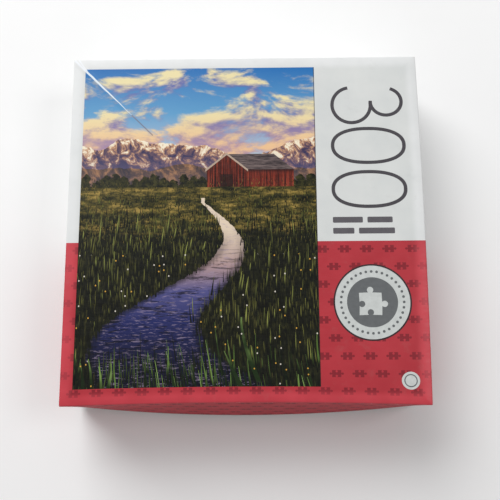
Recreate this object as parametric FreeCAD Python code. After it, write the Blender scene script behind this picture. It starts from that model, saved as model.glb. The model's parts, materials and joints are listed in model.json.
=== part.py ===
"""Boxed jigsaw puzzle: a telescoping lift-off lid over a square tray, with a sealed bag of 300 pieces.

Millimetres, +Z up. The box lies flat; the origin is the centre of the tray's underside, +X runs to the
box's right and the front wall, below the foot of the lid's picture, faces -Y.

Lid and tray are made alike: a folded chipboard blank, paper stays taped over its four corners, and a
paper wrap glued over the outside, round the rim and a little way up the inside. The box has been
stored and pressed: the lid's front wall leans out at its free edge and has sunk in along the top, with
the tray's front rim behind it, and the lid's right wall has bowed out.
"""
import FreeCAD, Part
import math
import os
import random

Vector = FreeCAD.Vector

# Driving dimensions, in millimetres
LID_SIDE = 203.0          # outside of the wrapped lid, straight walls
BOX_HEIGHT = 50.8         # underside of the tray to the top of the lid
REVEAL = 3.5              # strip of tray wall that shows below the lid's rim
BOARD = 1.2               # chipboard
WRAP = 0.2                # wrap paper with its glue
STAY = 0.08               # paper tape over a corner, under the wrap
TURN_IN = 17.0            # wrap folded inside the rim
SLIDING_GAP = 0.6         # tray wall to lid wall, each side
HEADROOM_GAP = 0.3        # tray rim to the underside of the lid's panel
FRONT_BOW = 5.5           # how far the lid's front wall bows out at its free edge, at mid length
FRONT_DIP = 1.9           # how far the same wall, and the tray's front rim, have sunk in at the top
RIGHT_BOW = 1.0           # bow of the lid's right wall at its free edge
RIGHT_TOP_BOW = 0.8       # and at the top
STAY_LEG = 14.0           # each leg of a corner stay
STAY_MARGIN = 1.0         # corner stay stops this far short of the wall's ends

COLUMNS, ROWS = 15, 20    # the puzzle's own grid
PIECE_W, PIECE_H = 18.0, 19.0
PIECE_T = 1.9
PIECE_REACH = 14.7        # farthest point of any piece from the middle of its cell
GRID_DRIFT = 0.45         # how far a cut crossing wanders from the even grid
KNOB_R = 2.25             # head of a knob
KNOB_FILLET_R = 0.8       # curve where the neck meets the edge
KNOB_CENTRE = 2.55        # head's centre above the edge
KNOB_SHIFT = 0.9          # how far a knob sits from the middle of its edge
KNOB_SPREAD = 0.05        # spread of knob sizes

SLOT_PITCH = 30.6         # places for pieces in one layer of the heap
LAYER_GRIDS = [(6, 6), (5, 6), (6, 6), (6, 5), (6, 6), (5, 6), (6, 6), (6, 5), (6, 6)]
LAYER_TILTS = [0.0, 0.0, 0.0, 0.0, 0.0, 1.5, 3.0, 4.5, 6.0]    # degrees, steepest on top
LAYER_GAP = 0.35

FILM = 0.1                # bag film
BAG_REST_GAP = 0.3        # bag to the tray's floor
BAG_WAIST = 94.5          # half width of the bag at its widest
BAG_FOOT = 92.4           # half width where its floor and its top begin to round over
BAG_CROWN = 70.0          # half width of its flat crown
BAG_ROUND = 2.4           # height of each rounded stretch
BAG_SEAL_HEIGHT = 12.0    # crimped end seals, standing up along the tray's left and right walls
BAG_SEAL_LENGTH = 176.0
BAG_SEAL_DROP = 6.0       # how far down the bag's side a seal starts

SEED = 20

# Worked out from them
LID_HALF = LID_SIDE / 2
LID_INSIDE = LID_HALF - 2 * WRAP - BOARD
TRAY_HALF = LID_INSIDE - SLIDING_GAP
TRAY_TOP = BOX_HEIGHT - WRAP - BOARD - HEADROOM_GAP
TRAY_FLOOR = WRAP + BOARD
BAG_BOTTOM = TRAY_FLOOR + BAG_REST_GAP


def square_wire(half, z, front=0.0, right=0.0):
    """Square outline; its front and right sides bow outwards by the given amounts, or inwards if negative."""
    corners = [Vector(-half, -half, z), Vector(half, -half, z), Vector(half, half, z), Vector(-half, half, z)]
    outward = [Vector(0, -1, 0), Vector(1, 0, 0), Vector(0, 1, 0), Vector(-1, 0, 0)]
    edges = []
    for index, bow in enumerate((front, right, 0, 0)):
        start, end = corners[index], corners[(index + 1) % 4]
        crown = (start + end) * 0.5 + outward[index] * bow
        edges.append(Part.Arc(start, crown, end).toShape() if bow else Part.makeLine(start, end))
    return Part.Wire(edges)


def slab(low, high):
    """A block wider than the box between two heights."""
    reach = 2 * LID_SIDE
    return Part.makeBox(reach, reach, high - low, Vector(-reach / 2, -reach / 2, low))


def lid_region(inset, low, high):
    """Everything within the lid's outline, `inset` in from its outer face, between two heights."""
    rim = square_wire(LID_HALF - inset, REVEAL, FRONT_BOW, RIGHT_BOW)
    top = square_wire(LID_HALF - inset, BOX_HEIGHT, -FRONT_DIP, RIGHT_TOP_BOW)
    return Part.makeLoft([rim, top], True, True).common(slab(low, high))


def tray_region(inset, low, high):
    """The same for the tray, which is straight but for its front rim."""
    floor = square_wire(TRAY_HALF - inset, 0)
    rim = square_wire(TRAY_HALF - inset, TRAY_TOP, -FRONT_DIP)
    return Part.makeLoft([floor, rim], True, True).common(slab(low, high))


def corner_blocks(half):
    """Four blocks that cover the legs of the corner stays."""
    size = STAY_LEG + 10
    blocks = []
    for x in (-1, 1):
        for y in (-1, 1):
            centre = Vector(x * (half - STAY_LEG + size / 2), y * (half - STAY_LEG + size / 2), BOX_HEIGHT / 2)
            corner = centre - Vector(size / 2, size / 2, BOX_HEIGHT)
            blocks.append(Part.makeBox(size, size, 2 * BOX_HEIGHT, corner))
    return Part.makeCompound(blocks)


def wrapped_shell(region, half, panel, rim):
    """Board, corner stays and wrap of one half of the box, open at the height `rim`."""
    up = 1 if rim > panel else -1

    def between(inset, start, end):
        return region(inset, min(start, end), max(start, end))

    board_panel = panel + up * WRAP
    inner_panel = board_panel + up * BOARD
    board_rim = rim - up * WRAP
    turn_end = rim - up * TURN_IN
    board = between(WRAP, board_panel, board_rim).cut(between(WRAP + BOARD, inner_panel, board_rim))
    stay_ends = board_panel + up * STAY_MARGIN, board_rim - up * STAY_MARGIN
    skin = between(WRAP - STAY, *stay_ends).cut(between(WRAP, *stay_ends))
    stays = skin.common(corner_blocks(half))
    wrap = between(0, panel, rim).cut(board).cut(between(2 * WRAP + BOARD, turn_end, rim))
    wrap = wrap.cut(between(WRAP + BOARD, inner_panel, turn_end)).cut(stays)
    return {"board": board, "corner_stays": stays, "wrap": wrap}


def seam(start, end, rng):
    """One cut between two crossings: straight shoulders and a knob made of three tangent arcs."""
    along = (end - start).normalize()
    side = rng.choice((-1, 1))
    across = Vector(-along.y, along.x, 0) * side
    size = 1 + rng.uniform(-KNOB_SPREAD, KNOB_SPREAD)
    head_r, fillet_r, height = KNOB_R * size, KNOB_FILLET_R * size, KNOB_CENTRE * size
    middle = (start + end) * 0.5 + along * rng.uniform(-KNOB_SHIFT, KNOB_SHIFT)
    reach = math.sqrt((head_r + fillet_r) ** 2 - (height - fillet_r) ** 2)
    head = middle + across * height

    def shoulder(way):
        """The foot, middle and head end of the fillet on one side of the neck."""
        centre = middle + along * (way * reach) + across * fillet_r
        foot = centre - across * fillet_r
        joint = centre + (head - centre) * (fillet_r / (head_r + fillet_r))
        bend = ((foot - centre) + (joint - centre)).normalize() * fillet_r + centre
        return foot, bend, joint

    left, right = shoulder(-1), shoulder(1)
    tip = head + across * head_r
    return [
        Part.makeLine(start, left[0]),
        Part.Arc(*left).toShape(),
        Part.Arc(left[2], tip, right[2]).toShape(),
        Part.Arc(*reversed(right)).toShape(),
        Part.makeLine(right[0], end),
    ]


def cut_sheet(rng):
    """Every piece of the puzzle as a flat solid about the middle of its own cell, by row and column."""

    def crossing(column, row):
        x, y = column * PIECE_W, row * PIECE_H
        if 0 < column < COLUMNS:
            x += rng.uniform(-GRID_DRIFT, GRID_DRIFT)
        if 0 < row < ROWS:
            y += rng.uniform(-GRID_DRIFT, GRID_DRIFT)
        return Vector(x, y, 0)

    points = [[crossing(c, r) for c in range(COLUMNS + 1)] for r in range(ROWS + 1)]

    def side(start, end, border):
        return [Part.makeLine(start, end)] if border else seam(start, end, rng)

    level = [
        [side(points[r][c], points[r][c + 1], r in (0, ROWS)) for c in range(COLUMNS)] for r in range(ROWS + 1)
    ]
    upright = [
        [side(points[r][c], points[r + 1][c], c in (0, COLUMNS)) for c in range(COLUMNS + 1)] for r in range(ROWS)
    ]
    pieces = []
    for r in range(ROWS):
        for c in range(COLUMNS):
            edges = level[r][c] + upright[r][c + 1] + level[r + 1][c] + upright[r][c]
            outline = Part.Wire(Part.__sortEdges__(edges))
            solid = Part.Face(outline).extrude(Vector(0, 0, PIECE_T))
            solid.translate(Vector(-(c + 0.5) * PIECE_W, -(r + 0.5) * PIECE_H, -PIECE_T / 2))
            pieces.append(solid)
    return pieces


def heap_slots():
    """Centre and tilt of every place in the heap: flat layers below, then more and more tilted ones."""
    slots = []
    z = BAG_BOTTOM + FILM + LAYER_GAP
    for (across, deep), tilt in zip(LAYER_GRIDS, LAYER_TILTS):
        half_height = PIECE_T / 2 + PIECE_REACH * math.sin(math.radians(tilt))
        z += half_height
        for i in range(across):
            for j in range(deep):
                x = (i - (across - 1) / 2) * SLOT_PITCH
                y = (j - (deep - 1) / 2) * SLOT_PITCH
                slots.append((Vector(x, y, z), tilt))
        z += half_height + LAYER_GAP
    return slots, z


def heap_pieces(rng, slots):
    """The pieces dropped into the heap in any order, turned any way and some of them face down."""
    rng.shuffle(slots)
    for solid, (place, tilt) in zip(cut_sheet(rng), slots):
        lean_way = rng.uniform(0, 360)
        lean_axis = Vector(math.cos(math.radians(lean_way)), math.sin(math.radians(lean_way)), 0)
        lean = FreeCAD.Rotation(lean_axis, rng.uniform(0.3, 1.0) * tilt)
        turn = FreeCAD.Rotation(Vector(0, 0, 1), rng.uniform(0, 360))
        flip = FreeCAD.Rotation(Vector(1, 0, 0), rng.choice((0, 180)))
        solid.Placement = FreeCAD.Placement(place, lean * turn * flip).multiply(solid.Placement)
        yield solid


def pillow(inset, top):
    """The bag's form: flat floor, rounded sides and a crown that falls away to the edges."""
    low, high = BAG_BOTTOM + inset, top - inset
    levels = [
        (BAG_FOOT, low),
        (BAG_WAIST, low + BAG_ROUND),
        (BAG_WAIST, high - 2 * BAG_ROUND),
        (BAG_FOOT, high - BAG_ROUND),
        (BAG_CROWN, high),
    ]
    return Part.makeLoft([square_wire(half - inset, z) for half, z in levels], True, True)


def bag(top):
    """Film bag: a thin closed skin with a doubled, crimped seal along its left and right ends."""
    outer = pillow(0, top)
    seal_low = top - BAG_ROUND - BAG_SEAL_DROP
    for side in (-1, 1):
        x = side * (BAG_WAIST - FILM) - FILM
        corner = Vector(x, -BAG_SEAL_LENGTH / 2, seal_low)
        outer = outer.fuse(Part.makeBox(2 * FILM, BAG_SEAL_LENGTH, BAG_SEAL_HEIGHT, corner))
    return outer.cut(pillow(FILM, top)).removeSplitter()


def build():
    """All nodes by name."""
    nodes = {}
    for name, shape in wrapped_shell(lid_region, LID_HALF, BOX_HEIGHT, REVEAL).items():
        nodes["lid_" + name] = shape
    for name, shape in wrapped_shell(tray_region, TRAY_HALF, 0, TRAY_TOP).items():
        nodes["tray_" + name] = shape
    rng = random.Random(SEED)
    slots, heap_top = heap_slots()
    nodes["bag_film"] = bag(heap_top + BAG_ROUND + FILM)
    pieces = list(heap_pieces(rng, slots))
    for row in range(ROWS):
        nodes[f"puzzle_row_{row + 1:02d}"] = Part.makeCompound(pieces[row * COLUMNS : (row + 1) * COLUMNS])
    return nodes


def main():
    os.makedirs("parts", exist_ok=True)
    for name, shape in build().items():
        solids = shape.Solids
        Part.makeCompound(solids).exportStep(f"parts/{name}.step")
        box = shape.BoundBox
        print(
            f"{name}: {len(solids)} solids, {sum(s.Volume for s in solids):.0f} mm3, valid {shape.isValid()}, "
            f"x {box.XMin:.2f}..{box.XMax:.2f} y {box.YMin:.2f}..{box.YMax:.2f} z {box.ZMin:.2f}..{box.ZMax:.2f}"
        )


main()
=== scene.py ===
import json
import math

import bmesh
import bpy
import numpy as np
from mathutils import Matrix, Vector, noise


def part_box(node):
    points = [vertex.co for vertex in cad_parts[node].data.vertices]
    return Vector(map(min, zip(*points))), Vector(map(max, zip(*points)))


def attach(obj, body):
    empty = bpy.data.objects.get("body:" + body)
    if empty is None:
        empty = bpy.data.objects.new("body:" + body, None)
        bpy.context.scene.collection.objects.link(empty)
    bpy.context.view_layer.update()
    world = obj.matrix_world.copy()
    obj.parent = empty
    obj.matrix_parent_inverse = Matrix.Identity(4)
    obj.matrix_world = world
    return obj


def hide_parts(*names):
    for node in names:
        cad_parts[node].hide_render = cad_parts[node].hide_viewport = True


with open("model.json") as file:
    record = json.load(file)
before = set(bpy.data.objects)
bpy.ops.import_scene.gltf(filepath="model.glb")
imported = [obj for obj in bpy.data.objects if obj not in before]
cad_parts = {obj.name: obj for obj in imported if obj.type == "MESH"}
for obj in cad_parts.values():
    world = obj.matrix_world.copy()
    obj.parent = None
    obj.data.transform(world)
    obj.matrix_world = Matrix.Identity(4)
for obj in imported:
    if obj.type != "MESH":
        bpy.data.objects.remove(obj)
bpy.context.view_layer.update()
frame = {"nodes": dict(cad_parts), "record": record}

MM = 0.001

# The box's form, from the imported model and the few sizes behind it
lid_low, lid_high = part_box("lid_wrap")
tray_low, tray_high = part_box("tray_wrap")
HALF = -lid_low.x / MM
TOP = lid_high.z / MM
RIM = lid_low.z / MM
TRAY_HALF = -tray_low.x / MM
TRAY_TOP = tray_high.z / MM
FRONT_BOW = -lid_low.y / MM - HALF
RIGHT_BOW = lid_high.x / MM - HALF
FRONT_DIP = 1.9
RIGHT_TOP_BOW = 0.8
WALL = 1.6                # board with wrap on both faces
TURN_IN = 17.0
EDGE_R = 0.6              # folded edge of the paper
BEND_REACH = 30.0         # how far in from a bowed edge the print follows it

# The print
PICTURE = (-94.4, -92.6, 41.3, 95.2)      # left, foot, right, head
BAND_Y = -10.4                            # white above, red below
BADGE = (70.8, -45.3)
INK = 0.02                                # step between one printed layer and the next
PATTERN_X, PATTERN_Y = 12.5, 10.0         # spacing of the small piece motifs
ROLL, ROLL_DROP = 9.0, 0.55               # soft roll of the right and front edges: its width and its drop


def rgb(red, green, blue):
    """A printed colour, 0 to 255 a channel, as the linear values that shaders take."""
    def linear(channel):
        return ((channel / 255 + 0.055) / 1.055) ** 2.4 if channel > 10 else channel / 3295

    return linear(red), linear(green), linear(blue), 1.0


MOTIF_RED = rgb(128, 30, 42)


# ---------------------------------------------------------------- shader sums

class Wire:
    """A value or colour in a material. Sums of wires add Math nodes to its tree."""

    def __init__(self, tree, socket):
        self.tree, self.socket = tree, socket

    def math(self, operation, *others):
        node = self.tree.nodes.new("ShaderNodeMath")
        node.operation = operation
        for socket, value in zip(node.inputs, (self, *others)):
            feed(self.tree, value, socket)
        return Wire(self.tree, node.outputs[0])

    def __add__(self, other):
        return self.math("ADD", other)

    def __sub__(self, other):
        return self.math("SUBTRACT", other)

    def __rsub__(self, other):
        return (self * -1) + other

    def __mul__(self, other):
        return self.math("MULTIPLY", other)

    def __truediv__(self, other):
        return self.math("DIVIDE", other)

    __radd__, __rmul__ = __add__, __mul__

    def above(self, limit):
        return self.math("GREATER_THAN", limit)

    def below(self, limit):
        return self.math("LESS_THAN", limit)

    def between(self, low, high):
        return self.above(low) * self.below(high)

    def smooth(self, zero, one):
        """0 at `zero`, 1 at `one`, and eased between them."""
        node = self.tree.nodes.new("ShaderNodeMapRange")
        node.interpolation_type = "SMOOTHSTEP"
        feed(self.tree, self, node.inputs["Value"])
        node.inputs["From Min"].default_value, node.inputs["From Max"].default_value = zero, one
        return Wire(self.tree, node.outputs["Result"])

    def split(self):
        node = self.tree.nodes.new("ShaderNodeSeparateXYZ")
        feed(self.tree, self, node.inputs[0])
        return [Wire(self.tree, out) for out in node.outputs]


def feed(tree, value, socket):
    if isinstance(value, Wire):
        tree.links.new(value.socket, socket)
    else:
        socket.default_value = value


def place(tree, x, y, z=0.0):
    node = tree.nodes.new("ShaderNodeCombineXYZ")
    for socket, value in zip(node.inputs, (x, y, z)):
        feed(tree, value, socket)
    return Wire(tree, node.outputs[0])


def fractal(vector, scale, detail=4.0, roughness=0.55, distortion=0.0):
    node = vector.tree.nodes.new("ShaderNodeTexNoise")
    feed(vector.tree, vector, node.inputs["Vector"])
    settings = {"Scale": scale, "Detail": detail, "Roughness": roughness, "Distortion": distortion}
    for name, value in settings.items():
        node.inputs[name].default_value = value
    return Wire(vector.tree, node.outputs[0])


def cells(vector, scale):
    """The distance to the nearest of scattered points."""
    node = vector.tree.nodes.new("ShaderNodeTexVoronoi")
    feed(vector.tree, vector, node.inputs["Vector"])
    node.inputs["Scale"].default_value = scale
    return Wire(vector.tree, node.outputs["Distance"])


def dice(vector, count=3):
    """Random values, one or three, that are the same wherever the vector is."""
    node = vector.tree.nodes.new("ShaderNodeTexWhiteNoise")
    feed(vector.tree, vector, node.inputs["Vector"])
    if count == 1:
        return Wire(vector.tree, node.outputs["Value"])
    return Wire(vector.tree, node.outputs["Color"]).split()


def after(colour, *places):
    """The same places, but worked out only once the colour is, so that few values are held at a time."""
    nothing = colour.math("MULTIPLY", 1e-9)
    return [place + nothing for place in places]


def paint(below, over, mask):
    node = mask.tree.nodes.new("ShaderNodeMix")
    node.data_type = "RGBA"
    feed(mask.tree, mask, node.inputs["Factor"])
    feed(mask.tree, below, node.inputs["A"])
    feed(mask.tree, over, node.inputs["B"])
    return Wire(mask.tree, node.outputs["Result"])


def ramp(value, *stops):
    """A colour for each value, from (position, colour) stops."""
    node = value.tree.nodes.new("ShaderNodeValToRGB")
    feed(value.tree, value, node.inputs[0])
    elements = node.color_ramp.elements
    while len(elements) < len(stops):
        elements.new(0.5)
    for element, (position, colour) in zip(elements, stops):
        element.position, element.color = position, colour
    return Wire(value.tree, node.outputs[0])


def bump(height, strength, distance, under=None):
    node = height.tree.nodes.new("ShaderNodeBump")
    node.inputs["Strength"].default_value, node.inputs["Distance"].default_value = strength, distance
    feed(height.tree, height, node.inputs["Height"])
    if under:
        feed(height.tree, under, node.inputs["Normal"])
    return Wire(height.tree, node.outputs[0])


def coordinates(tree, source, scale=1.0):
    """Object coordinates in millimetres, or the flat sheet's own, as x, y and z."""
    if source == "sheet":
        node = tree.nodes.new("ShaderNodeUVMap")
        node.uv_map = "sheet"
        out = node.outputs[0]
    else:
        node = tree.nodes.new("ShaderNodeTexCoord")
        out = node.outputs["Object"]
        scale = scale / MM
    x, y, z = Wire(tree, out).split()
    return (x, y, z) if scale == 1.0 else (x * scale, y * scale, z * scale)


def new_material(name, roughness, **constants):
    """A material and its Principled shader, with the constants on the shader's own sockets."""
    material = bpy.data.materials.new(name)
    material.use_nodes = True
    shader = material.node_tree.nodes["Principled BSDF"]
    shader.inputs["Roughness"].default_value = roughness
    for key, value in constants.items():
        shader.inputs[key.replace("_", " ")].default_value = value
    return material, material.node_tree, shader


# ---------------------------------------------------------------- printed paper

def crease(tree, x, y):
    """Where the lid's back left corner was bent: cracked ink with a painted highlight along a line, and
    painted shade in the fold's dark tail.
    """
    wander = fractal(place(tree, x, y), 0.07, 2.0) * 0.8 - 0.4
    along = ((x + HALF) - (y - HALF)) * 0.7071
    across = ((x + HALF) + (y - HALF)) * 0.7071 + wander
    gap = across.math("ABSOLUTE")
    ragged = fractal(place(tree, x, y, 3.0), 1.1, 3.0)
    width = along.smooth(54.0, 16.0) * 0.5 + ragged * 0.2
    # A white line along the crease: cracked ink, and a painted highlight.
    crack_and_highlight = (width - gap).smooth(-0.1, 0.14) * along.smooth(56.0, 50.0)
    fork = (across - 2.3 + along * 0.16).math("ABSOLUTE") * -1 + 0.4
    second = fork.smooth(-0.05, 0.1) * along.smooth(12.5, 10.0)
    # Painted shade: a dark line where the fold runs on past the cracked ink.
    crease_shade = (0.4 - gap).smooth(-0.2, 0.4) * along.between(50.0, 68.0)
    ridge = gap.smooth(3.0, 0.0) * along.smooth(66.0, 40.0)
    return crack_and_highlight.math("MAXIMUM", second), crease_shade, ridge


def rolled(distance):
    """How far the paper sags towards a softly rolled edge, in millimetres, from the distance to it."""
    near = ((ROLL - distance) / ROLL).math("MAXIMUM", 0.0).math("MINIMUM", 1.0)
    return near * near * -ROLL_DROP


def paper_finish(tree, shader, x, y, ridge, gloss):
    """Varnished paper: shallow waves, rolled right and front edges, fibre, fine scuffs and uneven gloss."""
    waves = fractal(place(tree, x, y, 7.0), 0.016, 2.0, 0.4)
    fibre = fractal(place(tree, x, y, 2.0), 2.6, 4.0, 0.7)
    scuffs = fractal(place(tree, x * 0.25 + y * 0.1, y, 5.0), 0.9, 5.0, 0.7)
    rough = scuffs.smooth(0.35, 0.75) * 0.16 + fibre * 0.05 + gloss
    feed(tree, rough, shader.inputs["Roughness"])
    sag = rolled(HALF - x).math("MINIMUM", rolled(y + HALF))
    edges = bump(sag, 1.0, MM)
    soft = bump(waves, 0.35, 1.6 * MM, edges)
    raised = bump(ridge, 0.6, 0.5 * MM, soft)
    feed(tree, bump(fibre, 0.25, 0.02 * MM, raised), shader.inputs["Normal"])


def motif(x, y):
    """One small puzzle piece: a block with two knobs and two sockets. 1 inside it."""
    wide, tall = x.math("ABSOLUTE"), y.math("ABSOLUTE")
    block = (wide / 2.5).math("MAXIMUM", tall / 2.05).smooth(1.04, 0.96)
    hole = (x * x + (tall - 1.3) * (tall - 1.3)).smooth(0.3, 0.5)
    slot = wide.below(0.28) * tall.above(1.3)
    knob = ((wide - 3.25) * (wide - 3.25) + y * y).smooth(0.56, 0.36)
    neck = wide.below(3.1) * tall.below(0.34)
    return (block * hole * (1.0 - slot)).math("MAXIMUM", knob).math("MAXIMUM", neck)


def motif_rows(x, y):
    """The motif in staggered rows over the whole sheet."""
    row = (y / PATTERN_Y).math("FLOOR")
    across = x / PATTERN_X + row * 0.5
    column = across.math("FLOOR")
    return motif((across - column - 0.5) * PATTERN_X, y - (row + 0.5) * PATTERN_Y)


def wrap_material():
    """The lid's sheet: white above the band line, red with motifs below it, worn along its folds, and paler
    near the top's edges with edge wear and a painted highlight.
    """
    material, tree, shader = new_material("printed_wrap", 0.4, Specular_IOR_Level=0.3)
    x, y, _ = coordinates(tree, "sheet")
    mottle = fractal(place(tree, x, y, 1.0), 0.05, 3.0)
    white = ramp(mottle, (0.3, rgb(217, 220, 219)), (0.7, rgb(226, 228, 226)))
    wide, tall = x.math("ABSOLUTE"), y.math("ABSOLUTE")
    edge = wide.math("MAXIMUM", tall) - HALF
    on_wall = edge.smooth(-0.2, 0.9)
    red = ramp(mottle, (0.3, rgb(178, 49, 59)), (0.7, rgb(190, 57, 67)))
    patterned = paint(red, MOTIF_RED, motif_rows(x, y) * 0.85)
    colour = paint(white, patterned, y.below(BAND_Y))
    # Paler near the top's edges, white and red alike: edge wear, and a painted highlight where the edges
    # roll down.
    edge_wear_and_highlight = edge.smooth(-8.0, -3.5) * (mottle + 0.4) * (1.0 - on_wall)
    colour = paint(colour, rgb(244, 245, 246), edge_wear_and_highlight * y.above(BAND_Y) * 0.6)
    colour = paint(colour, rgb(232, 84, 96), edge_wear_and_highlight * y.below(BAND_Y) * 0.45)
    grain = fractal(place(tree, x, y, 4.0), 0.8, 4.0, 0.7)
    fold = (edge - 0.35).math("ABSOLUTE")
    nicks = fold.smooth(0.8, 0.1) * grain.smooth(0.6, 0.7)
    colour = paint(colour, rgb(214, 200, 196), nicks * 0.6)
    corner = wide.math("MINIMUM", tall).smooth(HALF - 1.6, HALF) * grain.smooth(0.45, 0.65)
    colour = paint(colour, rgb(196, 184, 172), corner * 0.7)
    grime = fractal(place(tree, x, y, 9.0), 0.14, 4.0, 0.65).smooth(0.56, 0.75)
    colour = paint(colour, rgb(150, 140, 132), grime * 0.07)
    crack_and_highlight, crease_shade, ridge = crease(tree, x, y)
    # White along the crease: cracked ink and a painted highlight.
    colour = paint(colour, rgb(243, 246, 250), crack_and_highlight)
    # Painted shade along the fold's tail.
    colour = paint(colour, rgb(150, 140, 136), crease_shade * 0.3)
    feed(tree, colour, shader.inputs["Base Color"])
    paper_finish(tree, shader, x, y, ridge, on_wall * 0.3 + 0.3)
    return material


# ---------------------------------------------------------------- the picture
# An invented view: its skyline, clouds and grass come from noise, its stream and barn from formulas.
# u runs from 0 at the picture's left to 1 at its right, v from 0 at its foot to 1 at its head;
# wide is u at the same scale as v. Each layer takes all three and paints over the colour so far.

HORIZON = 0.62
BARN_X, BARN_HALF, BARN_LONG = 0.62, 0.085, 0.2       # gable end's middle and half width, and the long side
EAVES, RIDGE = HORIZON + 0.045, HORIZON + 0.095


def sky(tree, v, wide):
    """Evening air, pale low down and blue above, behind drifts of cloud lit from one side."""
    air = ramp((v - HORIZON) / (1 - HORIZON), (0.0, rgb(234, 204, 176)), (0.3, rgb(176, 196, 216)),
               (0.6, rgb(98, 162, 208)), (1.0, rgb(32, 112, 184)))
    billow = fractal(place(tree, wide, v * 2.2, 8.3), 4.5, 8.0, 0.58, 0.3)
    above = fractal(place(tree, wide - 0.014, v * 2.2 + 0.05, 8.3), 4.5, 8.0, 0.58, 0.3)
    lit = (billow - above).smooth(-0.08, 0.1)
    cover = (billow + (0.85 - v) * 0.25).smooth(0.43, 0.54)
    low = v.smooth(0.88, 0.72)
    shaded = paint(rgb(108, 112, 172), rgb(172, 138, 166), low)
    bright = paint(rgb(248, 232, 176), rgb(248, 200, 148), low)
    return paint(air, paint(shaded, bright, lit), cover * 0.95)


def skyline(tree, wide, seed, middle, rise, scale):
    """The height of a jagged ridge at each place across the picture."""
    return (fractal(place(tree, wide, seed), scale, 7.0, 0.52) - 0.5) * rise + middle


def mountains(tree, u, v, wide, colour):
    """A snowy range with brown foothills before it."""
    folds = fractal(place(tree, wide * 1.5 + v * 0.9, v * 1.2 - wide * 0.6, 1.0), 19.0, 8.0, 0.7, 0.7)
    haze = (v - HORIZON).smooth(0.12, 0.0)
    peaks = skyline(tree, wide, 5.0, 0.745, 0.34, 3.2)
    rock = ramp(folds + (v - peaks) * 1.3 + 0.03, (0.37, rgb(48, 46, 84)), (0.47, rgb(116, 88, 96)),
                (0.53, rgb(206, 156, 118)), (0.58, rgb(252, 240, 214)))
    colour = paint(colour, paint(rock, rgb(120, 112, 148), haze * 0.5), v.below(peaks))
    hills = skyline(tree, wide, 9.0, 0.672, 0.12, 4.0)
    scrub = ramp(folds, (0.36, rgb(40, 32, 28)), (0.48, rgb(98, 72, 50)), (0.62, rgb(186, 134, 84)))
    return paint(colour, paint(scrub, rgb(96, 92, 116), haze * 0.35), v.below(hills))


def trees(tree, u, v, wide, colour):
    """A hedgerow of round crowns along the horizon."""
    leaves = fractal(place(tree, wide, v, 6.0), 60.0, 4.0, 0.7)
    across = u * 24.0 + (leaves - 0.5) * 1.4
    number = across.math("FLOOR")
    tall, shift, _ = dice(place(tree, number, 4.0))
    offset = across - number - 0.5 - (shift - 0.5) * 0.3
    crown = tall * 0.024 + (HORIZON + 0.012) - offset * offset * 0.06
    shade = ramp(leaves, (0.4, rgb(14, 18, 10)), (0.62, rgb(64, 62, 30)))
    return paint(colour, shade, v.below(crown))


def barn(tree, u, v, wide, colour):
    """A plain red barn: its gable end, and its long side and roof running off to the right."""
    board = fractal(place(tree, u * 95.0, v * 4.0), 1.5, 5.0, 0.75)
    wood = ramp(board, (0.38, rgb(34, 12, 10)), (0.48, rgb(92, 32, 24)), (0.57, rgb(138, 52, 36)),
                (0.7, rgb(184, 92, 62)))
    offset = u - BARN_X
    slope = (RIDGE - EAVES) / BARN_HALF
    gable_top = offset.math("ABSOLUTE") * -slope + RIDGE
    stands = v.above(HORIZON - 0.014)
    long_side = offset.between(BARN_HALF, BARN_HALF + BARN_LONG) * v.below(EAVES) * stands
    colour = paint(colour, paint(wood, rgb(24, 12, 14), v.smooth(EAVES - 0.014, EAVES) * 0.8), long_side)
    run = offset - (v * -1 + RIDGE) / slope
    shingle = fractal(place(tree, u * 12.0, v * 190.0, 5.0), 1.3, 5.0, 0.7)
    slate = ramp(shingle, (0.4, rgb(52, 44, 48)), (0.6, rgb(124, 108, 106)))
    colour = paint(colour, slate, run.between(0.0, BARN_LONG) * v.between(EAVES, RIDGE))
    gable = v.below(gable_top) * offset.math("ABSOLUTE").below(BARN_HALF) * stands
    colour = paint(colour, paint(wood, rgb(30, 12, 12), board.smooth(0.7, 0.4) * 0.5), gable)
    trim = (gable_top - v).between(-0.004, 0.003) * offset.math("ABSOLUTE").below(BARN_HALF + 0.006)
    colour = paint(colour, rgb(186, 164, 146), trim * v.above(EAVES - 0.006))
    door = offset.math("ABSOLUTE").below(0.026) * v.between(HORIZON - 0.014, HORIZON + 0.03)
    return paint(colour, ramp(board, (0.4, rgb(20, 8, 8)), (0.62, rgb(70, 30, 24))), door)


def stream(v):
    """The stream's middle and half width at a height in the picture; it winds, and widens downwards."""
    head = HORIZON - 0.06
    near = ((head - v) / head).math("MAXIMUM", 0.0)
    middle = (near * 6.5).math("SINE") * 0.15 - near * 0.1 + 0.52
    return middle, near.math("POWER", 1.5) * 0.34 + 0.008


def rooted(u, v):
    """1 where grass can root, off the water."""
    middle, half = stream(v)
    return ((u - middle).math("ABSOLUTE") - half).above(0.0)


def meadow(tree, u, v, wide, colour):
    """Rough grassland in sun and shade, darker towards the foot."""
    flat = fractal(place(tree, wide, v * 3.0, 1.5), 12.0, 8.0, 0.74)
    field = ramp(flat, (0.36, rgb(12, 14, 8)), (0.45, rgb(42, 42, 18)), (0.53, rgb(92, 82, 36)),
                 (0.62, rgb(164, 138, 70)))
    streak = fractal(place(tree, wide * 5.0, v * 0.8, 4.0), 22.0, 5.0, 0.75)
    mud = ramp(streak, (0.4, rgb(10, 10, 7)), (0.55, rgb(28, 30, 14)), (0.7, rgb(72, 68, 34)))
    field = paint(field, mud, (v + (flat - 0.5) * 0.12).smooth(0.53, 0.44))
    return paint(colour, field, (v + (flat - 0.5) * 0.012).below(HORIZON - 0.01))


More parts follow.
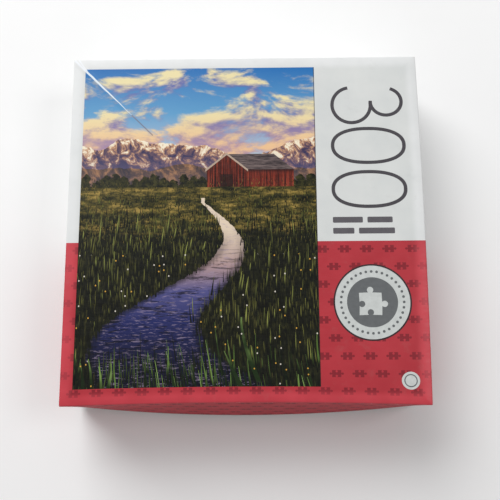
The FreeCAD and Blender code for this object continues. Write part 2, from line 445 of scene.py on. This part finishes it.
def water(tree, u, v, wide, colour):
    """The stream, dark blue near the foot and taking the sky's warm colours farther off."""
    ripple = fractal(place(tree, wide * 2.4, v * 15.0, 2.0), 6.0, 5.0, 0.65, 0.5)
    reeds = fractal(place(tree, wide * 9.0, v * 1.1, 3.0), 14.0, 4.0, 0.7)
    middle, half = stream(v)
    bank = half - (u - middle).math("ABSOLUTE") + (reeds - 0.5) * (half * 0.5 + 0.015)
    depth = ramp(v * 1.8, (0.0, rgb(14, 14, 30)), (0.18, rgb(22, 24, 56)), (0.36, rgb(40, 46, 100)),
                 (0.52, rgb(84, 84, 138)), (0.66, rgb(182, 152, 152)), (0.85, rgb(234, 214, 190)))
    depth = paint(depth, rgb(12, 12, 24), ripple.smooth(0.49, 0.4) * v.smooth(0.5, 0.3) * 0.8)
    fine = fractal(place(tree, wide * 2.6, v * 15.0, 6.0), 14.0, 4.0, 0.65, 0.6)
    depth = paint(depth, rgb(164, 148, 172), fine.smooth(0.54, 0.64) * 0.5)
    depth = paint(depth, rgb(16, 16, 20), bank.smooth(0.05, 0.0) * v.smooth(0.5, 0.35) * 0.7)
    return paint(colour, depth, bank.above(0.0) * v.below(HORIZON - 0.045))


def blades(tree, u, v, columns, rows, seed):
    """A bent, tapering blade in each cell of a jittered grid: its mask, tone, height along it and root."""
    across = u * columns
    column = across.math("FLOOR")
    start = dice(place(tree, column, seed, 11.0), 1)
    up = v * rows + start
    row = up.math("FLOOR")
    spot, tall, tone = dice(place(tree, column, row, seed))
    along = (up - row) / (tall * 0.7 + 0.3)
    middle = spot * 0.4 + 0.3 + (tone - 0.5) * along * along * 0.55
    half = (1.0 - along) * 0.26 + 0.04
    inside = ((across - column) - middle).math("ABSOLUTE").math("LESS_THAN", half) * along.below(1.0)
    return inside, tone, along, (column + 0.5) / columns, (row - start) / rows


def grass(tree, u, v, wide, colour):
    """Layers of blades from the meadow down to the foot, where the nearest stand in front of the water."""
    layers = (
        # columns, rows, seed, lowest and highest root, swirl, dark and light tone, share shown
        (210, 70, 1.0, 0.45, 0.6, 0.02, rgb(24, 26, 11), rgb(146, 126, 60), 0.45),
        (150, 38, 2.0, 0.4, 0.56, 0.04, rgb(18, 24, 10), rgb(120, 124, 54), 0.5),
        (130, 22, 3.0, 0.2, 0.5, 0.08, rgb(8, 10, 6), rgb(92, 90, 44), 0.9),
        (108, 16, 4.0, 0.1, 0.48, 0.14, rgb(10, 13, 7), rgb(116, 116, 56), 0.6),
        (84, 12, 5.0, 0.05, 0.45, 0.2, rgb(12, 16, 8), rgb(144, 150, 76), 0.4),
        (100, 10, 6.0, -0.3, 0.06, 0.14, rgb(7, 9, 6), rgb(64, 74, 36), 0.95),
        (84, 8.5, 7.0, -0.3, 0.045, 0.22, rgb(10, 15, 7), rgb(84, 104, 48), 0.8),
        (66, 7, 8.0, -0.3, 0.03, 0.3, rgb(15, 24, 10), rgb(104, 136, 62), 0.6),
        (54, 6, 9.0, -0.3, 0.015, 0.36, rgb(20, 36, 14), rgb(128, 160, 80), 0.45),
        (40, 5, 10.0, -0.3, 0.0, 0.42, rgb(28, 46, 18), rgb(146, 178, 98), 0.3),
    )
    clumps = fractal(place(tree, wide, v * 0.8, 21.0), 9.0, 3.0)
    for columns, rows, seed, low, high, swirl, dark, light, share in layers:
        u, v, wide = after(colour, u, v, wide)
        sway = (fractal(place(tree, wide, v * 0.6, seed * 7.0), 3.0, 0.0) - 0.5) * swirl
        inside, tone, along, root_u, root_v = blades(tree, u + sway, v, columns, rows, seed)
        ground = (root_v + tone * 0.06).between(low, high + 0.04)
        if low > 0:
            ground = ground * rooted(root_u, root_v)
        shine = (tone / share * along * 1.2 + (clumps - 0.5) * 1.8).smooth(0.1, 0.8)
        colour = paint(colour, paint(dark, light, shine), inside * ground * tone.below(share))
    return colour


def flowers(tree, u, v, wide, colour):
    """Small pale and yellow flowers scattered over the banks."""
    across, up = u * 46.0, v * 64.0
    column, row = across.math("FLOOR"), up.math("FLOOR")
    spot, lift, tone = dice(place(tree, column, row, 17.0))
    du, dv = across - column - 0.25 - spot * 0.5, up - row - 0.25 - lift * 0.5
    petals = (du * du * 1.5 + dv * dv).smooth(0.036, 0.012) * tone.above(0.92) * v.below(0.4)
    shade = paint(rgb(228, 176, 72), rgb(232, 224, 212), tone.above(0.96))
    return paint(colour, shade, petals * rooted(u, v) * 0.9)


def picture_material():
    """A countryside view in print: evening sky, snowy range, barn, meadow and a winding stream."""
    material, tree, shader = new_material("printed_picture", 0.35, Specular_IOR_Level=0.25)
    x, y, _ = coordinates(tree, "sheet")
    left, foot, right, head = PICTURE
    u = (x - left) / (right - left)
    v = (y - foot) / (head - foot)
    wide = u * ((right - left) / (head - foot))
    colour = sky(tree, v, wide)
    for layer in (mountains, trees, barn, meadow, water, grass, flowers):
        colour = layer(tree, *after(colour, u, v, wide), colour)
    colour = paint(colour, rgb(40, 36, 34), u.above(0.9965) * 0.7)
    crack_and_highlight, crease_shade, ridge = crease(tree, x, y)
    # White along the crease: cracked ink and a painted highlight.
    colour = paint(colour, rgb(232, 242, 250), crack_and_highlight)
    # Painted shade along the fold's tail.
    colour = paint(colour, rgb(120, 92, 92), crease_shade * 0.7)
    feed(tree, colour, shader.inputs["Base Color"])
    paper_finish(tree, shader, x, y, ridge, 0.26)
    return material


# ---------------------------------------------------------------- other materials

def ink_material(name, colour):
    """One printed ink under the same varnish as the sheet."""
    material, tree, shader = new_material(name, 0.4, Specular_IOR_Level=0.3)
    x, y, _ = coordinates(tree, "object")
    lay = fractal(place(tree, x, y, 6.0), 0.35, 4.0, 0.6)
    shade = tuple(c * 0.86 for c in colour[:3]) + (1.0,)
    feed(tree, ramp(lay, (0.3, shade), (0.7, colour)), shader.inputs["Base Color"])
    paper_finish(tree, shader, x, y, lay * 0.05, 0.3)
    return material


def board_material():
    """Grey chipboard: pulp mottling, flecks and a felt-like surface."""
    material, tree, shader = new_material("chipboard", 0.9, Specular_IOR_Level=0.2)
    x, y, z = coordinates(tree, "object")
    at = place(tree, x, y, z)
    pulp = fractal(at, 0.09, 5.0, 0.6)
    fleck = cells(at, 1.6)
    colour = ramp(pulp, (0.3, rgb(126, 119, 108)), (0.7, rgb(158, 150, 137)))
    colour = paint(colour, rgb(92, 84, 76), fleck.smooth(0.2, 0.08) * 0.5)
    fibre = fractal(place(tree, x, y * 0.3, z), 1.4, 5.0, 0.75)
    colour = paint(colour, rgb(188, 182, 170), fibre.smooth(0.6, 0.75) * 0.35)
    feed(tree, colour, shader.inputs["Base Color"])
    feed(tree, fibre * 0.12 + 0.82, shader.inputs["Roughness"])
    feed(tree, bump(fibre, 0.5, 0.12 * MM), shader.inputs["Normal"])
    return material


def plain_paper_material():
    """The tray's uncoated white wrap, with faint smudges, and darker in a band along its bottom edge."""
    material, tree, shader = new_material("plain_wrap", 0.75, Specular_IOR_Level=0.3)
    x, y, z = coordinates(tree, "object")
    at = place(tree, x, y, z)
    cloudy = fractal(at, 0.06, 4.0)
    fibre = fractal(at, 2.2, 4.0, 0.7)
    colour = ramp(cloudy, (0.3, rgb(226, 223, 216)), (0.7, rgb(236, 234, 229)))
    smudge = fractal(place(tree, x, y, z * 0.4), 0.2, 5.0, 0.65).smooth(0.55, 0.72)
    colour = paint(colour, rgb(186, 178, 166), smudge * 0.07)
    # Darker in a band along the bottom edge, patchy with the fibre.
    low = z.smooth(2.2, 0.2) * fibre.smooth(0.35, 0.6)
    colour = paint(colour, rgb(160, 150, 138), low * 0.2)
    feed(tree, colour, shader.inputs["Base Color"])
    feed(tree, fibre * 0.15 + 0.66, shader.inputs["Roughness"])
    feed(tree, bump(fibre, 0.4, 0.04 * MM), shader.inputs["Normal"])
    return material


def tape_material():
    """Kraft paper stays."""
    material, tree, shader = new_material("stay_tape", 0.8, Specular_IOR_Level=0.3)
    x, y, z = coordinates(tree, "object")
    fibre = fractal(place(tree, x, y, z * 0.2), 1.3, 5.0, 0.7)
    colour = ramp(fibre, (0.3, rgb(170, 140, 100)), (0.7, rgb(200, 172, 130)))
    feed(tree, colour, shader.inputs["Base Color"])
    feed(tree, fibre * 0.2 + 0.65, shader.inputs["Roughness"])
    feed(tree, bump(fibre, 0.4, 0.05 * MM), shader.inputs["Normal"])
    return material


def film_material():
    """Clear, crinkled polyethylene, cloudier along its creases."""
    material, tree, shader = new_material("bag_film", 0.12, IOR=1.5)
    x, y, z = coordinates(tree, "object")
    at = place(tree, x, y, z)
    folds = fractal(at, 0.045, 4.0, 0.6, 1.6)
    lines = (folds - 0.5).math("ABSOLUTE").smooth(0.03, 0.0)
    fine = fractal(at, 0.22, 3.0, 0.6, 2.0)
    colour = ramp(fine, (0.3, rgb(226, 232, 236)), (0.7, rgb(246, 248, 250)))
    feed(tree, colour, shader.inputs["Base Color"])
    feed(tree, lines * 0.4 + fine * 0.1 + 0.03, shader.inputs["Alpha"])
    feed(tree, fine * 0.14 + 0.06, shader.inputs["Roughness"])
    feed(tree, bump(lines + fine, 0.7, 0.9 * MM), shader.inputs["Normal"])
    return material


def piece_material():
    """Die-cut pieces: a scrap of the picture's colours on one face, blue-grey backing on the other."""
    material, tree, shader = new_material("puzzle_board", 0.5, Specular_IOR_Level=0.4)
    x, y, z = coordinates(tree, "object")
    pitch = 30.6
    cell_x, cell_y = (x / pitch + 50).math("FLOOR"), (y / pitch + 50).math("FLOOR")
    hue, _, side = dice(place(tree, cell_x, cell_y, (z / 2.25).math("FLOOR")))
    detail = fractal(place(tree, x, y, hue * 40.0), 0.16, 5.0, 0.6, 0.5)
    print_here = hue * 0.8 + detail * 0.5 - 0.15
    printed = ramp(print_here, (0.0, rgb(40, 56, 22)), (0.2, rgb(92, 124, 46)), (0.36, rgb(52, 66, 150)),
                   (0.5, rgb(168, 62, 44)), (0.6, rgb(150, 132, 120)), (0.72, rgb(244, 214, 158)),
                   (0.84, rgb(156, 140, 190)), (1.0, rgb(50, 140, 208)))
    pulp = fractal(place(tree, x, y, z), 0.8, 5.0, 0.7)
    back = ramp(pulp, (0.3, rgb(122, 128, 134)), (0.7, rgb(156, 160, 164)))
    facing = tree.nodes.new("ShaderNodeNewGeometry")
    upright = Wire(tree, facing.outputs["Normal"]).split()[2]
    shown = upright.above(0.5) * side.above(0.25)
    colour = paint(back, printed, shown)
    cut_edge = upright.math("ABSOLUTE").below(0.5)
    colour = paint(colour, rgb(140, 134, 124), cut_edge)
    feed(tree, colour, shader.inputs["Base Color"])
    feed(tree, pulp * 0.2 + (1.0 - shown) * 0.35 + 0.3, shader.inputs["Roughness"])
    linen = fractal(place(tree, x, y, z), 2.0, 2.0)
    feed(tree, bump(linen, 0.3, 0.05 * MM), shader.inputs["Normal"])
    return material


# ---------------------------------------------------------------- meshes

def piece(name, points, faces, material, body, smooth=True):
    """A mesh piece from points in millimetres, riding on a body."""
    mesh = bpy.data.meshes.new(name)
    mesh.from_pydata([Vector(p) * MM for p in points], [], faces)
    mesh.materials.append(material)
    mesh.polygons.foreach_set("use_smooth", [smooth] * len(mesh.polygons))
    mesh.update()
    made = bpy.data.objects.new(name, mesh)
    bpy.context.scene.collection.objects.link(made)
    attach(made, body)
    return made


def lay_sheet(made, flat):
    """Gives each corner of the mesh its place on the flat sheet, in millimetres."""
    layer = made.data.uv_layers.new(name="sheet")
    corners = np.empty(len(made.data.loops), dtype=np.int32)
    made.data.loops.foreach_get("vertex_index", corners)
    layer.data.foreach_set("uv", np.asarray(flat, dtype=np.float32)[corners].ravel())


def ease(value):
    value = min(max(value, 0.0), 1.0)
    return value * value * (3 - 2 * value)


def bent(x, y, half, depth, front, right):
    """A point of a straight box, moved with its bowed front and right walls; depth is 0 to 1 down them."""
    near_front = ease((-y - half + BEND_REACH) / BEND_REACH)
    near_right = ease((x - half + BEND_REACH) / BEND_REACH)
    out_front = (front[0] * (1 - depth) + front[1] * depth) * max(0.0, 1 - (x / half) ** 2)
    out_right = (right[0] * (1 - depth) + right[1] * depth) * max(0.0, 1 - (y / half) ** 2)
    return x + near_right * out_right, y - near_front * out_front


def on_lid(x, y, layer=0):
    """A place on the lid's top, a few ink layers up."""
    x, y = bent(x, y, HALF, 0.0, (-FRONT_DIP, FRONT_BOW), (RIGHT_TOP_BOW, RIGHT_BOW))
    return x, y, TOP + layer * INK


def folded_wrap(name, half, panel, rim, front, right, material, body):
    """A paper wrap as it is folded: over the panel, along the walls, round the rim and in."""
    down = -1 if rim < panel else 1
    steps = 64
    core = half - EDGE_R
    line = [core * (2 * i / steps - 1) for i in range(steps + 1)]
    points, flat, faces = [], [], []

    def add(x, y, outward, out, z, along):
        depth = min(abs(z - panel) / abs(rim - panel), 1.0)
        bx, by = bent(x + outward[0] * out, y + outward[1] * out, half, depth, front, right)
        points.append((bx, by, z))
        flat.append((x + outward[0] * along, y + outward[1] * along))
        return len(points) - 1

    grid = [[add(x, y, (0, 0), 0, panel, 0) for x in line] for y in line]
    for j in range(steps):
        for i in range(steps):
            faces.append((grid[j][i], grid[j][i + 1], grid[j + 1][i + 1], grid[j + 1][i]))

    border = []
    sides = (
        ([grid[0][i] for i in range(steps + 1)], -90),
        ([grid[j][steps] for j in range(steps + 1)], 0),
        ([grid[steps][i] for i in range(steps, -1, -1)], 90),
        ([grid[j][0] for j in range(steps, -1, -1)], 180),
    )
    for indices, heading in sides:
        border += [(index, heading) for index in indices]
        border += [(indices[-1], heading + turn) for turn in (22.5, 45, 67.5)]
    where = [(*flat[index], (math.cos(math.radians(a)), math.sin(math.radians(a)))) for index, a in border]

    fold = [math.pi / 8 * k for k in range(1, 5)]
    section = [(EDGE_R * math.sin(a), EDGE_R * (1 - math.cos(a))) for a in fold]
    drop = abs(rim - panel) - WALL / 2
    section += [(EDGE_R, EDGE_R + (drop - EDGE_R) * k / 20) for k in range(1, 21)]
    turn = [math.pi / 6 * k for k in range(1, 7)]
    section += [(EDGE_R - WALL / 2 * (1 - math.cos(a)), drop + WALL / 2 * math.sin(a)) for a in turn]
    section += [(EDGE_R - WALL, drop - TURN_IN * k / 6) for k in range(1, 7)]
    section.append((EDGE_R - WALL + 0.2, drop - TURN_IN))

    ring = [index for index, _ in border]
    along, last = 0.0, (0.0, 0.0)
    for out, fall in section:
        along += math.dist((out, fall), last)
        last = (out, fall)
        below = [add(x, y, outward, out, panel + down * fall, along) for x, y, outward in where]
        for k, index in enumerate(ring):
            following = (k + 1) % len(ring)
            quad = (index, below[k], below[following], ring[following])
            faces.append(tuple(dict.fromkeys(quad)))
        ring = below
    made = piece(name, points, faces, material, body)
    lay_sheet(made, flat)
    shape = bmesh.new()
    shape.from_mesh(made.data)
    bmesh.ops.recalc_face_normals(shape, faces=shape.faces)
    shape.to_mesh(made.data)
    shape.free()
    return made


def picture_panel(material):
    """The printed picture, following the lid's top."""
    left, foot, right, head = PICTURE
    across, deep = 48, 66
    flat = [(left + (right - left) * i / across, foot + (head - foot) * j / deep)
            for j in range(deep + 1) for i in range(across + 1)]
    row = across + 1
    faces = [(j * row + i, j * row + i + 1, (j + 1) * row + i + 1, (j + 1) * row + i)
             for j in range(deep) for i in range(across)]
    made = piece("lid_picture", [on_lid(x, y, 1) for x, y in flat], faces, material, "lid")
    lay_sheet(made, flat)


def inked(name, loops, layer, material):
    """Flat printed shapes from closed outlines; an outline inside another is a hole."""
    curve = bpy.data.curves.new(name, "CURVE")
    curve.dimensions, curve.fill_mode = "2D", "BOTH"
    for loop in loops:
        spline = curve.splines.new("POLY")
        spline.points.add(len(loop) - 1)
        spline.use_cyclic_u = True
        for point, (x, y) in zip(spline.points, loop):
            point.co = (x, y, 0, 1)
    holder = bpy.data.objects.new(name + "_outline", curve)
    filled = bpy.data.meshes.new_from_object(holder)
    points = [on_lid(v.co.x, v.co.y, layer) for v in filled.vertices]
    faces = [tuple(p.vertices) for p in filled.polygons]
    bpy.data.objects.remove(holder)
    bpy.data.curves.remove(curve)
    bpy.data.meshes.remove(filled)
    return piece(name, points, faces, material, "lid", smooth=False)


def ellipse(x, y, rx, ry, count=96, bulge=2.0):
    """A closed ellipse, squarer as its bulge rises above 2."""
    loop = []
    for k in range(count):
        c, s = math.cos(2 * math.pi * k / count), math.sin(2 * math.pi * k / count)
        across, up = math.copysign(abs(c) ** (2 / bulge), c), math.copysign(abs(s) ** (2 / bulge), s)
        loop.append((x + rx * across, y + ry * up))
    return loop


def band(path, width):
    """The closed outline of a stroke of even width along a path."""
    left, right = [], []
    for k, (x, y) in enumerate(path):
        (x0, y0), (x1, y1) = path[max(k - 1, 0)], path[min(k + 1, len(path) - 1)]
        length = math.hypot(x1 - x0, y1 - y0)
        nx, ny = -(y1 - y0) / length * width / 2, (x1 - x0) / length * width / 2
        left.append((x + nx, y + ny))
        right.append((x - nx, y - ny))
    return left + right[::-1]


def arc(x, y, rx, ry, start, end, count=40):
    """Points along an elliptical arc, its angles in degrees."""
    angles = [math.radians(start + (end - start) * k / count) for k in range(count + 1)]
    return [(x + rx * math.cos(a), y + ry * math.sin(a)) for a in angles]


def numerals(material):
    """The count of pieces, 300, in plain thin figures that read down the lid's right side."""
    stroke = 2.0
    inked("numeral_three", [band(arc(62.7, 71.1, 11.2, 10.9, 100, 368), stroke)], 1, material)
    inked("numeral_three_bowl", [band(arc(82.8, 73.1, 8.9, 8.4, 176, 432), stroke)], 1.1, material)
    for name, x, y in (("numeral_nought_upper", 71.6, 46.2), ("numeral_nought_lower", 71.3, 20.0)):
        loops = [ellipse(x, y, 21.4 - inset, 11.3 - inset, bulge=2.3) for inset in (0, stroke)]
        inked(name, loops, 1, material)


def block(x0, y0, x1, y1, r):
    """A rectangle with rounded corners."""
    corners = ((x1 - r, y1 - r, 0), (x0 + r, y1 - r, 90), (x0 + r, y0 + r, 180), (x1 - r, y0 + r, 270))
    return [point for x, y, start in corners for point in arc(x, y, r, r, start, start + 90, 5)]


def caption(material):
    """Two lines of plain bars where a caption would stand."""
    x, tall = 50.2, 3.4
    for number, (foot, lengths) in enumerate(((0.2, (17.0, 14.0)), (-6.2, (12.0, 20.0))), start=1):
        at, loops = x, []
        for length in lengths:
            loops.append(block(at, foot, at + length, foot + tall, 0.6))
            at += length + 2.6
        inked(f"caption_bars_{number}", loops, 1, material)


def piece_outline(x, y, size):
    """An upright jigsaw piece: knobs above and to the right, sockets below and to the left."""
    half, knob = size / 2, size * 0.14
    neck = knob * 0.62
    opening = math.degrees(math.asin(neck / knob))
    loop = []
    for way, heading in ((1, 0), (-1, 90), (-1, 180), (1, 270)):
        start, end = (-90 + opening, 270 - opening) if way > 0 else (90 - opening, -270 + opening)
        side = [(half, half), *arc(0, half + way * knob * 0.9, knob, knob, start, end, 24)]
        c, s = math.cos(math.radians(heading)), math.sin(math.radians(heading))
        loop += [(x + px * c - py * s, y + px * s + py * c) for px, py in side]
    return loop


def badge(inks):
    """Plain round badge: a rim, an even ring of dots and an upright puzzle piece on a grey disc."""
    x, y = BADGE
    dot_ring, dot_count = 17.3, 36
    inked("badge_rim", [ellipse(x, y, 21.5, 21.5), ellipse(x, y, 20.5, 20.5)], 1, inks["dark"])
    inked("badge_ground", [ellipse(x, y, 20.6, 20.6)], 2, inks["white"])
    dots = []
    for k in range(dot_count):
        angle = 2 * math.pi * k / dot_count
        dots.append(ellipse(x + dot_ring * math.cos(angle), y + dot_ring * math.sin(angle), 0.75, 0.75, 20))
    inked("badge_dots", dots, 3, inks["disc"])
    inked("badge_disc", [ellipse(x, y, 14.0, 14.0)], 3, inks["disc"])
    inked("badge_piece", [piece_outline(x - 1.0, y - 1.0, 12.5)], 4, inks["white"])


def label(inks):
    """Small plain white disc with a grey ring, near the corner."""
    x, y = 90.1, -88.6
    inked("label_ground", [ellipse(x, y, 4.9, 4.9)], 1, inks["white"])
    inked("label_ring", [ellipse(x, y, 3.6, 3.6, 48), ellipse(x, y, 3.0, 3.0, 48)], 2, inks["disc"])


def film_bag(material):
    """The sealed bag: a crumpled pillow of film with a rippled seal standing along each end."""
    low, high = (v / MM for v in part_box("bag_film"))
    waist, bottom, crown = high.x, low.z, high.z - 3.2
    steps = 90
    reach, swell = 60, 0.15       # how near the edge the bag stays full, and how steeply its sides rise
    points, faces = [], []

    def wrinkle(x, y, z, size):
        fold = noise.turbulence(Vector((x, y, z)) * 0.028, 3, False)
        return (fold - 0.5) * size

    def shell(top):
        rows = []
        for j in range(steps + 1):
            row = []
            for i in range(steps + 1):
                a, b = 2 * i / steps - 1, 2 * j / steps - 1
                edge = max(abs(a), abs(b))
                fall = 1 - edge ** reach
                x, y = a * waist, b * waist
                middle = (bottom + crown) / 2
                if top:
                    z = middle + (crown - middle) * fall ** swell
                    z += (wrinkle(x, y, 3.0, 2.6) + 0.8) * min(1, fall * 3)
                else:
                    z = middle - (middle - bottom) * fall ** swell
                shrink = 1 + wrinkle(x, y, z, 0.012) * (1 - fall)
                points.append((x * shrink, y * shrink, z))
                row.append(len(points) - 1)
            rows.append(row)
        return rows

    upper, lower = shell(True), shell(False)
    for rows, flip in ((upper, False), (lower, True)):
        for j in range(steps):
            for i in range(steps):
                quad = (rows[j][i], rows[j][i + 1], rows[j + 1][i + 1], rows[j + 1][i])
                faces.append(quad[::-1] if flip else quad)
    made = piece("film_bag", points, faces, material, "bag")
    shape = bmesh.new()
    shape.from_mesh(made.data)
    bmesh.ops.remove_doubles(shape, verts=shape.verts, dist=0.05 * MM)
    bmesh.ops.recalc_face_normals(shape, faces=shape.faces)
    shape.to_mesh(made.data)
    shape.free()
    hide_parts("bag_film")
    for side, name in ((-1, "bag_seal_left"), (1, "bag_seal_right")):
        bag_seal(name, side, waist, (bottom + crown) / 2, material)


def bag_seal(name, side, waist, foot, material):
    """A crimped strip of doubled film, rippled along its length and leaning in over the bag."""
    across, tall, height, length = 240, 10, 14.0, 172.0
    points, faces = [], []
    for j in range(tall + 1):
        for i in range(across + 1):
            y = (i / across - 0.5) * length
            up = j / tall
            crimp = 0.25 * math.sin(up * 42.0)
            lean = 9.0 * up * up + 1.4 * math.sin(y * 0.09 + side) * up + 0.5 * math.sin(y * 0.31) * up
            points.append((side * (waist - 0.4 - lean + crimp), y, foot + height * up * (1 - 0.12 * up)))
    for j in range(tall):
        for i in range(across):
            first = j * (across + 1) + i
            faces.append((first, first + 1, first + across + 2, first + across + 1))
    piece(name, points, faces, material, "bag")


# ---------------------------------------------------------------- stage

def floor():
    """A plain pale tabletop."""
    material, tree, shader = new_material("floor", 0.6, Specular_IOR_Level=0.2)
    x, y, _ = coordinates(tree, "object")
    cloudy = fractal(place(tree, x, y), 0.01, 3.0)
    colour = ramp(cloudy, (0.3, rgb(252, 252, 252)), (0.7, rgb(255, 255, 255)))
    feed(tree, colour, shader.inputs["Base Color"])
    size = 3.0
    mesh = bpy.data.meshes.new("floor")
    corners = [(-size, -size, 0), (size, -size, 0), (size, size, 0), (-size, size, 0)]
    mesh.from_pydata(corners, [], [(0, 1, 2, 3)])
    mesh.materials.append(material)
    made = bpy.data.objects.new("floor", mesh)
    made.location.z = -0.0002
    bpy.context.scene.collection.objects.link(made)


def softbox(name, location, target, size, power):
    light = bpy.data.lights.new(name, "AREA")
    light.shape, light.size, light.energy = "SQUARE", size, power
    made = bpy.data.objects.new(name, light)
    made.location = location
    made.rotation_euler = (Vector(target) - Vector(location)).to_track_quat("-Z", "Y").to_euler()
    bpy.context.scene.collection.objects.link(made)


def studio():
    world = bpy.data.worlds.new("studio")
    world.use_nodes = True
    world.node_tree.nodes["Background"].inputs["Color"].default_value = (1.0, 1.0, 1.0, 1.0)
    world.node_tree.nodes["Background"].inputs["Strength"].default_value = 0.34
    bpy.context.scene.world = world
    softbox("key", (-0.8, 1.3, 1.35), (0, 0, 0), 1.5, 32.5)
    softbox("right_edge", (0.85, 0.05, 1.25), (0, 0, 0), 0.45, 3.0)


def camera():
    data = bpy.data.cameras.new("camera")
    data.sensor_fit = "HORIZONTAL"
    data.angle = math.radians(36.78)
    made = bpy.data.objects.new("camera", data)
    made.location = (0.0088, -0.1005, 0.4667)
    made.rotation_euler = (math.radians(11.58), math.radians(0.85), math.radians(-0.25))
    bpy.context.scene.collection.objects.link(made)
    bpy.context.scene.camera = made


def dress_cad_nodes():
    """Better materials for the CAD parts that are shown as they are."""
    looks = {"chipboard": board_material(), "stay_tape": tape_material(), "puzzle_board": piece_material()}
    for entry in frame["record"]["subparts"]:
        look = looks.get(entry["material_slot"])
        if look:
            node = frame["nodes"][entry["node"]]
            node.data.materials.clear()
            node.data.materials.append(look)


def main():
    bpy.context.scene.view_settings.view_transform = "Standard"
    dress_cad_nodes()
    lid = folded_wrap("lid_print", HALF, TOP, RIM, (-FRONT_DIP, FRONT_BOW), (RIGHT_TOP_BOW, RIGHT_BOW),
                      wrap_material(), "lid")
    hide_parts("lid_wrap")
    tray = folded_wrap("tray_paper", TRAY_HALF, 0.0, TRAY_TOP, (0.0, -FRONT_DIP), (0.0, 0.0),
                       plain_paper_material(), "tray")
    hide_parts("tray_wrap")
    picture_panel(picture_material())
    inks = {
        "grey": ink_material("grey_ink", rgb(78, 75, 80)),
        "caption": ink_material("caption_ink", rgb(100, 97, 102)),
        "dark": ink_material("dark_ink", rgb(58, 40, 44)),
        "disc": ink_material("disc_ink", rgb(108, 111, 113)),
        "white": ink_material("white_ink", rgb(214, 218, 216)),
    }
    numerals(inks["grey"])
    caption(inks["caption"])
    badge(inks)
    label(inks)
    film_bag(film_material())
    floor()
    studio()
    camera()


main()
